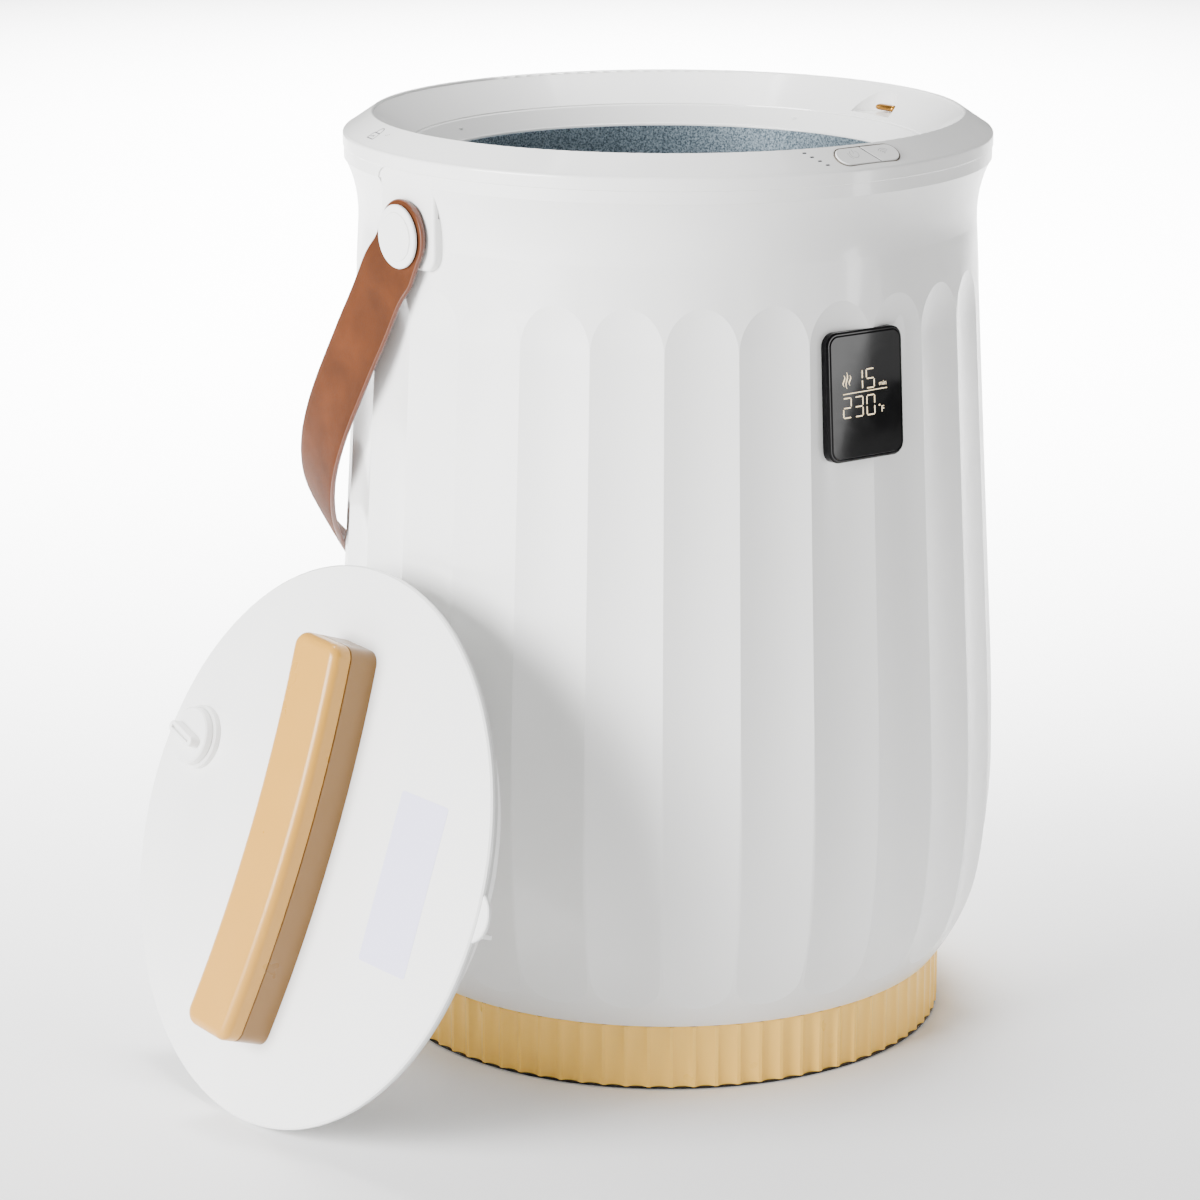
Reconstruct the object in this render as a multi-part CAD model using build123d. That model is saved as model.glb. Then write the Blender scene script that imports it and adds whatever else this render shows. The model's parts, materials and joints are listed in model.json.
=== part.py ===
from build123d import *
from math import cos, radians, sin, tan
import os

# Towel warmer bucket: a fluted body with a heated pot, a lift-off lid that leans on it, and a strap.
# The body stands on the floor at z = 0 with its axis on Z. The display faces -Y and the strap
# pivots lie on X. The lid is modelled lying flat and is then placed beside the body.

os.makedirs("parts", exist_ok=True)

# Body and rim
rim_height = 444.2
rim_radius = 154.4
lip_radius = 139.7
lip_crest = 141.0
slope_end_radius = 153.2
neck_radius = 147.6
neck_height = 394.0
waist_height = 185.0
waist_radius = 159.3
belly_height = 128.0
belly_radius = 161.1
corner_height = 78.0
corner_radius = 157.3
foot_radius = 137.0
foot_height = 32.0
shell_top = 423.4
shell_top_radius = 153.6
wall = 5.5
spigot_radius = 147.0
flute_count = 28
flute_curve = 95.0
flute_top = 359.6
front_angle = -1.8

# Base
skirt_radius = 136.7
skirt_flutes = 80
skirt_phase = 1.6
skirt_bottom = 1.4
skirt_top = 31.4
plate_bottom = 2.4
plate_lip = 136.2
plate_thickness = 3.0
screw_circle = 116.0
foot_circle = 112.0

# Pot
pot_radius = 115.8
pot_wall = 1.2
pot_flange = 415.0
pot_top = 419.3
pot_floor = 72.0

# Rim seat and lid
ledge_radius = 123.0
ledge_height = 429.0
mouth_radius = 116.0
mouth_height = 419.8
hanger_circle = 122.5
lid_radius = 130.8
lid_thickness = 3.0
lid_drop = 29.0
plug_radius = 108.0
lid_lean = 19.13
lid_heading = -88.9
lid_bearing = -86.2
lug_centre = 125.3
lug_radius = 12.1
lid_distance = 221.8
lock_angle = 165.0
lock_circle = 105.0
seat_turn = -1.4
scoop_centre = 123.4
scoop_radius = 14.4
scoop_floor = 431.0
latch_floor = 433.2
latch_roof = 438.6

# Lid handle
grip_length = 190.0
grip_width = 34.0
grip_height = 25.0
grip_seam = 15.0
grip_bow = 7.5
grip_turn = -2.4

# Controls
display_width = 43.6
display_height = 59.4
display_centre = 332.0
display_tilt = 3.8
display_proud = 1.6
display_face = 151.1
button_angle = -0.7
button_length = 36.6
button_width = 12.0
button_radius = 146.8
bezel_width = 0.45
button_gap = 0.3
split_gap = 0.5
split_slant = 31.2
split_shift = 1.5
rim_slope = 34.2
light_length = 2.0
light_width = 0.9

# Strap handle
pivot_height = 399.0
strap_width = 34.0
strap_thickness = 2.8
strap_reach = 284.0
strap_sag = 12.0
strap_inner = 152.2
strap_hang = 38.5
pad_face = 150.8
pad_bottom = 384.0
recess_face = 151.9
recess_width = 41.0
recess_top = 428.6
stud_radius = 5.0
cap_radius = 14.7
running_gap = 0.06

# Lid switch pin
switch_x = 136.9
switch_z = 432.9
switch_tip = -7.6
switch_end = 21.6
housing_start = 18.0


def turned(*outline):
    """Turn a closed outline, given as (radius, height) points, about the Z axis."""
    face = make_face(Polyline(*outline, close=True))
    return revolve(Plane.XZ * face, Axis.Z)


def ring(inner, outer, low, high):
    """A plain ring about Z between two heights."""
    return Pos(0, 0, low) * extrude(Circle(outer) - Circle(inner), high - low)


def rod(radius, low, high):
    """A plain cylinder about Z between two heights."""
    return Pos(0, 0, low) * extrude(Circle(radius), high - low)


def around(count, radius, start=0.0):
    """Places spaced evenly round the Z axis."""
    turns = [start + 360.0 / count * step for step in range(count)]
    return [Rot(0, 0, turn) * Pos(radius, 0, 0) for turn in turns]


def slope_point(radius):
    """Height of the rim's sloping top at a radius."""
    return rim_height - (radius - lip_crest) * tan(radians(rim_slope))


def front_frame(angle, radius, height, lean):
    """A frame on the controls' side: x to the right, z outwards, leaned back by an angle."""
    return Rot(0, 0, angle) * Pos(0, -radius, height) * Rot(90 - lean, 0, 0)


display_place = front_frame(front_angle, display_face + display_proud, display_centre, display_tilt)
button_place = front_frame(button_angle, button_radius, slope_point(button_radius), 90 - rim_slope)


# ---------------------------------------------------------------- body

def shell_outline():
    """Outer line of the body from the rim down to the foot, as tangent curves."""
    flank_slope = (waist_radius - neck_radius, waist_height - neck_height)
    up = (-flank_slope[0], -flank_slope[1])
    flare = TangentArc((neck_radius, neck_height), (shell_top_radius, shell_top), tangent=up)
    flank = Line((neck_radius, neck_height), (waist_radius, waist_height))
    shoulder = TangentArc(flank @ 1, (belly_radius, belly_height), tangent=flank % 1)
    belly = TangentArc(shoulder @ 1, (corner_radius, corner_height), tangent=shoulder % 1)
    corner = TangentArc(belly @ 1, (foot_radius, foot_height), tangent=belly % 1)
    return flare, flank, shoulder, belly, corner


def shell_blank():
    """The body before its flutes: outer line outside, a plain wall inside and a foot flange."""
    flare, flank, shoulder, belly, corner = shell_outline()
    inside = Polyline(
        (foot_radius, foot_height),
        (131.0, foot_height),
        (131.0, skirt_top),
        (104.0, skirt_top),
        (104.0, 35.0),
        (133.0, 35.0),
        (142.0, 50.0),
        (corner_radius - wall, corner_height + 2.0),
        (belly_radius - wall, belly_height),
        (waist_radius - wall, waist_height),
        (neck_radius - wall, neck_height),
        (neck_radius - wall, 403.0),
        (spigot_radius + 0.1, 411.0),
        (spigot_radius + 0.1, shell_top),
        (shell_top_radius, shell_top),
    )
    face = make_face([flare, flank, shoulder, belly, corner, inside])
    return revolve(Plane.XZ * face, Axis.Z)


def flute_cutter():
    """One flute: a round bar bent along the body's flank, with a ball at each end."""
    out = flute_curve
    foot_lean = radians(21.8)
    corner_lean = radians(8.4)
    flank_lean = (waist_radius - neck_radius) / (neck_height - waist_height)
    top_radius = neck_radius + (neck_height - flute_top) * flank_lean
    corner_out = out - 2.46
    foot_out = out - 2.3
    top = (top_radius + out - 2.26, flute_top)
    waist = (waist_radius + out - 2.53, waist_height)
    belly = (belly_radius + out - 2.57, belly_height)
    corner_drop = corner_out * sin(corner_lean)
    corner = (corner_radius + corner_out * cos(corner_lean), corner_height - corner_drop)
    foot = (151.4 + foot_out * cos(foot_lean), 56.2 - foot_out * sin(foot_lean))
    flank = Line(top, waist)
    shoulder = TangentArc(waist, belly, tangent=flank % 1)
    middle = TangentArc(belly, corner, tangent=shoulder % 1)
    lower = TangentArc(corner, foot, tangent=middle % 1)
    path = Plane.XZ * Wire([flank, shoulder, middle, lower])
    section = Plane(origin=path @ 0, z_dir=path % 0) * Circle(out)
    bar = sweep(section, path)
    upper_ball = Pos(top[0], 0, top[1]) * Sphere(out)
    lower_ball = Pos(foot[0], 0, foot[1]) * Sphere(out)
    keep = Pos(160, 0, 210) * Box(60, 44, 400)
    return (bar + upper_ball + lower_ball) & keep


def pivot_pad(side):
    """Raised flat pad under one end of the strap, with rounded lower corners."""
    height = shell_top - pad_bottom
    plate = Plane.YZ * RectangleRounded(42, height + 12, 8)
    pad = Pos(138, 0, pad_bottom + height / 2 + 6) * extrude(plate, pad_face - 138)
    pad = pad - Pos(pad_face, 0, shell_top + 15) * Box(60, 60, 30) - Pos(118.3, 0, 425) * Box(60, 60, 32)
    front = pad.edges().filter_by_position(Axis.X, pad_face - 0.01, pad_face + 0.01)
    pad = fillet(front.filter_by(lambda edge: (edge @ 0.5).Z < shell_top - 1), 1.6)
    return Rot(0, 0, 0 if side > 0 else 180) * pad


def strap_clearance(side):
    """Space cut from the flare so that the strap's end turns freely."""
    cut = Pos(pad_face + 10, 0, 401.5) * Box(20, recess_width, 45)
    return Rot(0, 0, 0 if side > 0 else 180) * cut


def fluted_body():
    """The body as equal sectors, each with one flute cut in its middle, joined into one solid."""
    pitch = 360.0 / flute_count
    reach = 200.0
    side = reach * tan(radians(pitch / 2))
    wedge = extrude(make_face(Polyline((0, 0), (reach, -side), (reach, side), close=True)), rim_height)
    sector = (shell_blank() & wedge) - flute_cutter()
    sectors = [Rot(0, 0, pitch * (step + 0.5)) * sector for step in range(flute_count)]
    return sectors[0].fuse(*sectors[1:])


def outer_shell():
    """Fluted body with strap pads, a display pocket and four screw bosses."""
    shell = fluted_body()
    for side in (1, -1):
        shell = shell - strap_clearance(side)
        shell = shell + pivot_pad(side)
        shell = shell - Pos(side * 145, 0, pivot_height) * Rot(0, 90, 0) * Cylinder(3.1, 40)
    backing = display_place * Pos(0, 0, -10) * extrude(RectangleRounded(54, 70, 6), 5)
    pocket = extrude(RectangleRounded(display_width + 0.2, display_height + 0.2, 6.1), 14)
    shell = shell + (backing & rod(149, 280, 384))
    shell = shell - display_place * Pos(0, 0, -5.6) * pocket
    shell = shell - display_place * Pos(0, -15, -12) * Cylinder(5, 24)
    for place in around(4, screw_circle, 45):
        shell = shell + place * rod(6, 34, 50)
        shell = shell - place * rod(1.7, 20, 46)
    return shell


# ---------------------------------------------------------------- rim

def rim_outline():
    """Section of the rim moulding, from the outer edge over the lip to the pot's mouth."""
    slope_end = (slope_end_radius, slope_point(slope_end_radius))
    foot = [(151.6, shell_top), (154.0, shell_top)]
    wall_up = Polyline(*foot, (154.0, 429.0), (rim_radius, 429.4), (rim_radius, 434.0))
    crown = ThreePointArc((rim_radius, 434.0), (154.15, 435.2), slope_end)
    slope = Line(slope_end, (lip_crest, rim_height))
    lip = ThreePointArc((lip_crest, rim_height), (140.0, 444.05), (lip_radius, 443.0))
    funnel = Polyline(
        (lip_radius, 443.0),
        (ledge_radius + 0.1, ledge_height + 0.6),
        (ledge_radius, ledge_height),
        (121.9, ledge_height - 0.4),
        (mouth_radius + 0.5, mouth_height + 0.7),
    )
    mouth_inside = (mouth_radius + 0.05, mouth_height - 0.6)
    mouth = ThreePointArc(funnel @ 1, (mouth_radius, mouth_height), mouth_inside)
    inner = Polyline(
        mouth_inside,
        (mouth_inside[0], 418.6),
        (118.8, 418.6),
        (118.8, 420.0),
        (123.7, 427.4),
        (124.5, 427.9),
        (140.6, 440.9),
        (141.8, 441.0),
        (151.6, 434.4),
        (151.6, shell_top),
    )
    return [wall_up, crown, slope, lip, funnel, mouth, inner]


def lock_axis():
    """Place of the lock knob's axis when the lid is closed, seen on the rim."""
    return Rot(0, 0, lock_angle + seat_turn) * Pos(lock_circle, 0, 0)


def lug_scoop(grow):
    """Half-round pocket in the seat's wall at +X that takes the lid's lug."""
    disc = rod(scoop_radius + grow, scoop_floor - grow, rim_height)
    return Rot(0, 0, seat_turn) * Pos(scoop_centre, 0, 0) * disc


def scoop_wall():
    """Wall behind the lug's pocket, kept below the rim's faces."""
    seat_side = [(139.9, 442.6), (123.6, 429.4), (124, 424)]
    under_rim = turned((151, 424), (151, 436.8), (141.2, 443.5), *seat_side)
    return lug_scoop(2.2) & under_rim


def latch_wall():
    """Block behind the seat that holds the latch's slot."""
    under_seat = turned((124.5, 426), (142, 426), (142, 440.8), (140, 442.4), (124, 429.6))
    return lock_axis() * rod(34.6, latch_floor - 2.2, latch_roof + 1.8) & under_seat


def rim_recess(side):
    """Shallow recess in the rim's lower edge, over one end of the strap."""
    outline = Plane.YZ * RectangleRounded(recess_width, 20, 6)
    cut = Pos(recess_face, 0, recess_top - 10) * extrude(outline, 10)
    return Rot(0, 0, 0 if side > 0 else 180) * cut


def recess_backing(side):
    """Block inside the rim behind one recess."""
    inside, outside = spigot_radius - 2.05, 152.2
    tall = recess_top + 2 - shell_top
    block = Pos((inside + outside) / 2, 0, shell_top + tall / 2) * Box(outside - inside, 48, tall)
    return (Rot(0, 0, 0 if side > 0 else 180) * block) & rod(153.8, shell_top, 440)


def top_collar():
    """Rim moulding with its lid seat, lug pocket, latch slot, button well and light holes."""
    collar = revolve(Plane.XZ * make_face(rim_outline()), Axis.Z)
    collar = collar + ring(spigot_radius - 2.2, spigot_radius, 412.0, 438.0)
    collar = collar + scoop_wall() + latch_wall()
    for side in (1, -1):
        collar = collar + recess_backing(side) - rim_recess(side)
    pin_bore = along_y(switch_tip - 0.6) * rod(1.6 + running_gap, 0, 36)
    collar = collar - lug_scoop(0) - pin_bore
    latch_slot = lock_axis() * rod(32.0, latch_floor, latch_roof)
    collar = collar - (latch_slot & ring(118, 138.4, 420, 440))
    well = button_place * Pos(0, 0, -10) * extrude(SlotOverall(button_length, button_width), 14)
    room = button_place * Pos(0, 0, -12) * extrude(RectangleRounded(44, 13.4, 2), 9.2)
    collar = collar - well - (room & ring(143.6, 151.6, 420, 442)) - switch_seat(0.05)
    hole = extrude(SlotOverall(light_length + 0.06, light_width + 0.06), 12)
    for place in light_places():
        collar = collar - place * Pos(0, 0, -9) * hole
    for place in around(4, hanger_circle, 20):
        collar = collar + place * rod(3.4, pot_flange, 425.4) - place * rod(1.25, 412, 419.0)
    return collar


def light_places():
    """Places of the four small lights, in a slanted row up the rim's slope."""
    places = []
    for step in range(4):
        radius = 143.2 + 2.37 * step
        turn = Rot(0, 0, -13.1 + 1.05 * step)
        places.append(turn * Pos(0, -radius, slope_point(radius)) * Rot(rim_slope, 0, 0))
    return places


def rim_lights():
    """Four light pipes, each flush with the rim's slope."""
    pipe = Pos(0, 0, -5) * extrude(SlotOverall(light_length, light_width), 5.05)
    return Compound(children=[place * pipe for place in light_places()])


# ---------------------------------------------------------------- pot and heater

def inner_barrel():
    """Pressed pot with a neck, a hanging flange and a rounded bottom corner."""
    inside = pot_radius - pot_wall
    corner = 14.0
    flange_edge = hanger_circle + 4.5
    floor_edge = pot_radius - corner
    outer = [
        Line((0, pot_floor), (floor_edge, pot_floor)),
        RadiusArc((floor_edge, pot_floor), (pot_radius, pot_floor + corner), -corner),
        Polyline(
            (pot_radius, pot_floor + corner),
            (pot_radius, pot_flange - 2),
            (flange_edge, pot_flange - 2),
            (flange_edge, pot_flange),
            (pot_radius, pot_flange),
            (pot_radius, pot_top),
            (inside, pot_top),
            (inside, pot_floor + corner),
        ),
        RadiusArc((inside, pot_floor + corner), (floor_edge, pot_floor + pot_wall), corner - pot_wall),
        Polyline((floor_edge, pot_floor + pot_wall), (0, pot_floor + pot_wall), (0, pot_floor)),
    ]
    pot = revolve(Plane.XZ * make_face(outer), Axis.Z)
    for place in around(4, hanger_circle, 20):
        pot = pot - place * rod(1.6, pot_flange - 5, pot_flange + 1)
    return pot


def barrel_gasket():
    """Silicone ring between the pot's flange and the rim's mouth."""
    return ring(116.1, 118.7, pot_flange, 418.6)


def barrel_screws():
    """Four screws that hang the pot's flange from the rim."""
    flange_bottom = pot_flange - 2
    screw = rod(1.2, flange_bottom, 418.4) + rod(3.0, flange_bottom - 2.2, flange_bottom)
    return Compound(children=[place * screw for place in around(4, hanger_circle, 20)])


def heater_band():
    """Flat heater wrapped round the pot, with a gap where its ends are clipped."""
    band = ring(pot_radius, pot_radius + 0.9, 118.0, 330.0)
    gap = Pos(0, pot_radius, 224.0) * Box(8, 20, 220)
    return band - gap


def heater_clip():
    """Sheet clip that pulls the heater's two ends together."""
    arc = ring(pot_radius, pot_radius + 1.6, 150.0, 298.0)
    return arc & (Pos(0, pot_radius, 224.0) * Box(7.8, 20, 220))


def insulation_sleeve():
    """Insulation between the pot and the body."""
    return ring(118.6, 134.0, 51.0, 396.0)


def thermostat():
    """Button thermostat clipped under the pot's floor, with two blade terminals."""
    body = rod(8.0, pot_floor - 9.0, pot_floor - 1.2) + rod(11.5, pot_floor - 1.2, pot_floor)
    ears = Pos(0, 0, pot_floor - 0.6) * Box(32, 9, 1.2)
    blades = [Pos(side * 4.5, 0, pot_floor - 13.0) * Box(0.8, 6.3, 9.0) for side in (1, -1)]
    return Pos(40, 0, 0) * (body + ears + blades[0] + blades[1])


# ---------------------------------------------------------------- base

def base_skirt():
    """Fluted skirt ring under the body, with an inner flange that the body stands on."""
    scallop = 7.2
    outline = Circle(skirt_radius)
    ring_radius = skirt_radius + scallop - 1.75
    outline = outline - PolarLocations(ring_radius, skirt_flutes, skirt_phase) * Circle(scallop)
    band = Pos(0, 0, skirt_bottom) * extrude(outline - Circle(132.4), skirt_top - skirt_bottom)
    flange = ring(106.0, 132.4, skirt_top - 2.4, skirt_top)
    skirt = band + flange
    for place in around(4, screw_circle, 45):
        skirt = skirt - place * rod(2.2, skirt_top - 5, skirt_top + 5)
    return skirt - Pos(0, 140, 16.5) * Rot(90, 0, 0) * Cylinder(6.5, 40)


def base_plate():
    """Bottom plate with air slots, screw pillars, foot seats and a stiffening rim."""
    top = plate_bottom + plate_thickness
    plate = rod(131.8, plate_bottom, top) + ring(129.2, 131.8, top, 12.0)
    plate = plate + ring(124.0, plate_lip, 0.5, skirt_bottom)
    plate = plate + ring(124.0, 131.8, skirt_bottom, plate_bottom)
    for place in around(4, screw_circle, 45):
        plate = plate + place * rod(6.0, top, skirt_top - 2.4)
        plate = plate - place * rod(2.2, 0, 40) - place * rod(4.2, plate_bottom, plate_bottom + 2.4)
    for place in around(4, foot_circle):
        plate = plate + place * rod(11.0, top, top + 1.6)
        plate = plate - place * rod(9.1, plate_bottom, plate_bottom + 2.0)
    for place in around(28, 62.0, 360.0 / 56):
        plate = plate - place * Pos(0, 0, plate_bottom) * extrude(SlotOverall(34, 4.4), plate_thickness)
    for place in board_places():
        plate = plate + place * rod(3.4, top, 14.0) - place * rod(1.2, 8.0, 16.0)
    return plate - Pos(0, 131, 16.5) * Rot(90, 0, 0) * Cylinder(9.0, 12)


def board_places():
    """Corners of the control board."""
    return [Pos(x * 38, -8 + y * 26, 0) for x in (1, -1) for y in (1, -1)]


def rubber_feet():
    """Four rubber feet that stand on the floor."""
    foot = rod(9.0, 0.0, plate_bottom + 2.0)
    foot = chamfer(foot.edges().sort_by(Axis.Z)[0], 0.8)
    return Compound(children=[place * foot for place in around(4, foot_circle)])


def base_screws():
    """Four screws through the plate's pillars and the skirt into the body."""
    head = plate_bottom + 2.4
    screw = rod(3.8, plate_bottom + 0.2, head) + rod(1.65, head, 44.0)
    return Compound(children=[place * screw for place in around(4, screw_circle, 45)])


def control_board():
    """Power board with its relay, transformer, capacitor and terminal block."""
    board = Pos(0, -8, 14.8) * Box(86, 62, 1.6)
    parts = [(-26, -22, 18, 15, 15), (8, -20, 26, 22, 18), (-24, 8, 30, 12, 9), (28, 10, 14, 14, 20)]
    for x, y, length, width, height in parts:
        board = board + Pos(x, y, 15.6 + height / 2) * Box(length, width, height)
    for place in board_places():
        board = board - place * rod(1.4, 10, 20)
    return board


def cord_gland():
    """Bush in the back of the skirt where a cord would leave."""
    gland = rod(6.4, -8.0, 8.0) + rod(9.0, 4.4, 7.0) + rod(8.4, -7.0, -4.2)
    gland = gland - rod(3.6, -10, 10)
    return Pos(0, skirt_radius - 4.3, 16.5) * Rot(-90, 0, 0) * gland


# ---------------------------------------------------------------- controls

def display_frame():
    """Black tray that carries the display's window."""
    tray = Pos(0, 0, -5.6) * extrude(RectangleRounded(display_width, display_height, 6), 5.2)
    tray = chamfer(tray.faces().sort_by(Axis.Z)[-1].edges(), 0.8)
    inner = Pos(0, 0, -1.8) * extrude(RectangleRounded(41.0, 56.8, 4.8), 4)
    room = Pos(0, 0, -4.4) * extrude(RectangleRounded(36.0, 50.0, 3), 4)
    slot = Pos(0, -15, -5) * Cylinder(5, 6)
    return display_place * (tray - inner - room - slot)


def display_glass():
    """Polished dark window, bevelled round its edge."""
    pane = Pos(0, 0, -1.8) * extrude(RectangleRounded(40.8, 56.6, 4.7), 1.8)
    pane = chamfer(pane.faces().sort_by(Axis.Z)[-1].edges(), 0.6)
    return display_place * pane


def display_board():
    """Display board with the digit block behind the window."""
    board = Pos(0, 0, -4.4) * extrude(RectangleRounded(35.6, 49.6, 2.9), 1.2)
    digits = Pos(0, 4, -2.5) * Box(30, 26, 1.4)
    return display_place * (board + digits)


def button_bezel():
    """Slim frame that lines the button well and carries the buttons' board."""
    outer = SlotOverall(button_length - 0.1, button_width - 0.1)
    trim = 0.1 + 2 * bezel_width
    inner = SlotOverall(button_length - trim, button_width - trim)
    return button_place * Pos(0, 0, -6.6) * extrude(outer - inner, 6.4)


def button_cap(side):
    """Half of a slot-shaped pair of buttons: a domed cap on a stem, split by a slanted gap."""
    trim = 0.1 + 2 * (bezel_width + button_gap)
    outline = SlotOverall(button_length - trim, button_width - trim)
    half_plane = Pos(side * (20 + split_gap / 2), 0) * Rectangle(40, 40)
    half = outline & Pos(split_shift, 0) * Rot(0, 0, split_slant) * half_plane
    cap = Pos(0, 0, -2.4) * extrude(half, 2.7)
    cap = chamfer(cap.faces().sort_by(Axis.Z)[-1].edges(), 0.3)
    stem = Pos(split_shift + side * 8.2, 0, 0) * rod(1.6, -4.2, -2.4)
    return button_place * (cap + stem)


def button_board():
    """Board under the buttons with two touch switches."""
    board = Pos(0, -0.9, -7.4) * extrude(RectangleRounded(38, 8.2, 2), 0.8)
    for side in (1, -1):
        board = board + Pos(split_shift + side * 8.2, 0, -5.9) * Box(5.4, 5.4, 1.4)
    return button_place * board


# ---------------------------------------------------------------- lid switch

def along_y(start):
    """Frame of the lid switch's pin: local z runs to +Y from a given y."""
    return Pos(switch_x, start, switch_z) * Rot(-90, 0, 0)


def switch_plunger():
    """Brass pin with a round nose that the lid's lug pushes aside, and a collar inside its tube."""
    reach = switch_end - switch_tip
    pin = rod(1.6, 1.6, reach) + Pos(0, 0, 1.6) * Sphere(1.6)
    return along_y(switch_tip) * (pin + rod(2.1, reach - 1.2, reach))


def switch_seat(grow):
    """Outline of the switch housing, grown all round: a tube with a block on its outer side."""
    side = 5.8 + 2 * grow
    block = Pos(2.7, 0, 8) * Box(5.4 + 2 * grow, side, 16 + 2 * grow)
    return along_y(housing_start) * (rod(2.9 + grow, -grow, 16 + grow) + block)


def switch_housing():
    """Tube that guides the pin, with the lid switch moulded on its outer side."""
    bore = rod(1.6 + running_gap, -1, 3) + rod(2.25, 1.2, 14.8)
    return switch_seat(0.0) - along_y(housing_start) * bore


# ---------------------------------------------------------------- strap

def strap_middle():
    """Points on the strap's middle line, from beyond one pivot round to beyond the other."""
    middle = strap_inner + strap_thickness / 2
    start = [(middle, away) for away in (-27, -14, 0, 6, 10, 13)]
    bend = [(middle + 0.5, 16), (middle + 2.0, 20.5), (middle + 2.8, 24.5), (156.7, 30), (156.9, 42)]
    bend = bend + [(156.2, 72), (152.2, 115)]
    bow = [(145, 150), (134.5, 180), (121, 207), (103, 232), (67, 263)]
    half = start + bend + bow
    return half + [(0, strap_reach)] + [(-across, away) for across, away in reversed(half)]


def strap_side(outwards):
    """One face line of the strap: the middle line moved sideways by a distance."""
    middle = [Vector(across, away) for across, away in strap_middle()]
    line = [middle[0]]
    for before, point, after in zip(middle, middle[1:], middle[2:]):
        line.append(point + (after - before).normalized().rotate(Axis.Z, -90) * outwards)
    line[0] = line[1] + middle[0] - middle[1]
    line.append(line[-1] + middle[-1] - middle[-2])
    return Spline(*line)


def strap_handle():
    """Leather strap bent into a bow, with round ends that turn on the studs."""
    inner = strap_side(-strap_thickness / 2)
    outer = strap_side(strap_thickness / 2)
    ends = [Line(inner @ 0, outer @ 0), Line(inner @ 1, outer @ 1)]
    bow = extrude(make_face([inner, outer, *ends]), strap_width, both=True)
    sag_radius = strap_reach**2 / (8 * strap_sag) + strap_sag / 2
    sagging = Circle(sag_radius + strap_width / 2) - Circle(sag_radius - strap_width / 2)
    sagging = Pos(strap_reach / 2, sag_radius - strap_sag) * sagging & Pos(150, 0) * Rectangle(300, 120)
    side_view = Circle(strap_width / 2) + sagging - Circle(stud_radius + running_gap)
    across = Plane(origin=(-200, 0, 0), x_dir=(0, 1, 0), z_dir=(1, 0, 0))
    strap = bow & extrude(across * side_view, 400)
    return Pos(0, 0, pivot_height) * Rot(strap_hang - 90, 0, 0) * strap


def pivot_places():
    """Frames of the two pivots, with local z running outwards."""
    return [Pos(0, 0, pivot_height) * Rot(0, side * 90, 0) for side in (1, -1)]


def pivot_studs():
    """Shoulder studs that the strap turns on, each with a nut inside the body."""
    stud = rod(3.0, 135.4, 150.8) + rod(stud_radius, pad_face, 155.3) + rod(2.0, 155.3, 156.5)
    nut = Pos(0, 0, 135.4) * extrude(RegularPolygon(6.0, 6), 2.6)
    return Compound(children=[place * (stud + nut) for place in pivot_places()])


def pivot_washers():
    """Washers that hold the strap off its pads."""
    washer = ring(stud_radius + 0.1, 11.0, pad_face, 152.0)
    return Compound(children=[place * washer for place in pivot_places()])


def pivot_cap(place):
    """Round cover over one end of the strap, with a shallow step."""
    cap = rod(cap_radius, 155.3, 157.2) + rod(cap_radius - 3.4, 157.2, 157.7)
    cap = chamfer(cap.edges().group_by(Axis.Z)[-1], 0.3)
    cap = chamfer(cap.edges().filter_by(GeomType.CIRCLE).sort_by(SortBy.RADIUS)[-2:], 0.5)
    return place * (cap - rod(2.0, 150.0, 156.5))


# ---------------------------------------------------------------- lid

def lid_frame():
    """Frame of the leaning lid: origin on its outer face, z outwards, x towards the lug."""
    lean = radians(lid_lean)
    heading = radians(lid_heading)
    bearing = radians(lid_bearing)
    height = lid_radius * cos(lean) + lid_thickness * sin(lean) + 0.3
    origin = (lid_distance * sin(bearing), -lid_distance * cos(bearing), height)
    normal = (sin(heading) * cos(lean), -cos(heading) * cos(lean), sin(lean))
    return Plane(origin=origin, x_dir=(cos(heading), sin(heading), 0), z_dir=normal).location


knob_place = Rot(0, 0, lock_angle) * Pos(lock_circle, 0, 0)
grip_place = Rot(0, 0, grip_turn) * Pos(-grip_bow + 2.5, 0, 0)


def grip_screws_at():
    """Places of the two screws that hold the lid's handle."""
    return [grip_place * Pos(grip_bow * 0.6, side * 60, 0) for side in (1, -1)]


def lid_cover():
    """Flat round lid with bores for the lock knob, handle screws and lug."""
    cover = rod(lid_radius, -lid_thickness, 0)
    cover = chamfer(cover.edges(), 0.8)
    cover = cover - knob_place * rod(5.0 + running_gap, -5, 2)
    for place in grip_screws_at():
        cover = cover - place * rod(2.2, -5, 2)
    return cover - Pos(125.6, 0, -2.2) * Box(13.8, 14.1, 1.61)


def lid_pan():
    """Inner pan of the lid, with a shoulder and a pocket in which the latch turns."""
    pan = turned(
        (0, -lid_drop),
        (101, -lid_drop),
        (106.5, -26.2),
        (plug_radius, -21),
        (plug_radius, -8),
        (116, -8),
        (116, -lid_thickness),
        (114, -lid_thickness),
        (114, -6),
        (106, -6),
        (106, -20.6),
        (104.8, -24.8),
        (100.4, -27),
        (0, -27),
    )
    pan = pan - knob_place * rod(33.0, -5.9, -2.0)
    return pan - knob_place * rod(4.6, -9.0, -5.0)


def lid_core():
    """Insulation inside the lid's pan."""
    return turned((0, -26.8), (100.2, -26.8), (104.4, -24.6), (105.6, -20.4), (105.6, -8.4), (0, -8.4))


def lid_gasket():
    """Seal under the lid's edge, open where the latch passes."""
    seal = ring(124.6, 130.0, -4.8, -lid_thickness)
    seal = chamfer(seal.edges().group_by(Axis.Z)[0], 0.5)
    return seal - knob_place * rod(34.0, -6, -2)


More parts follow.
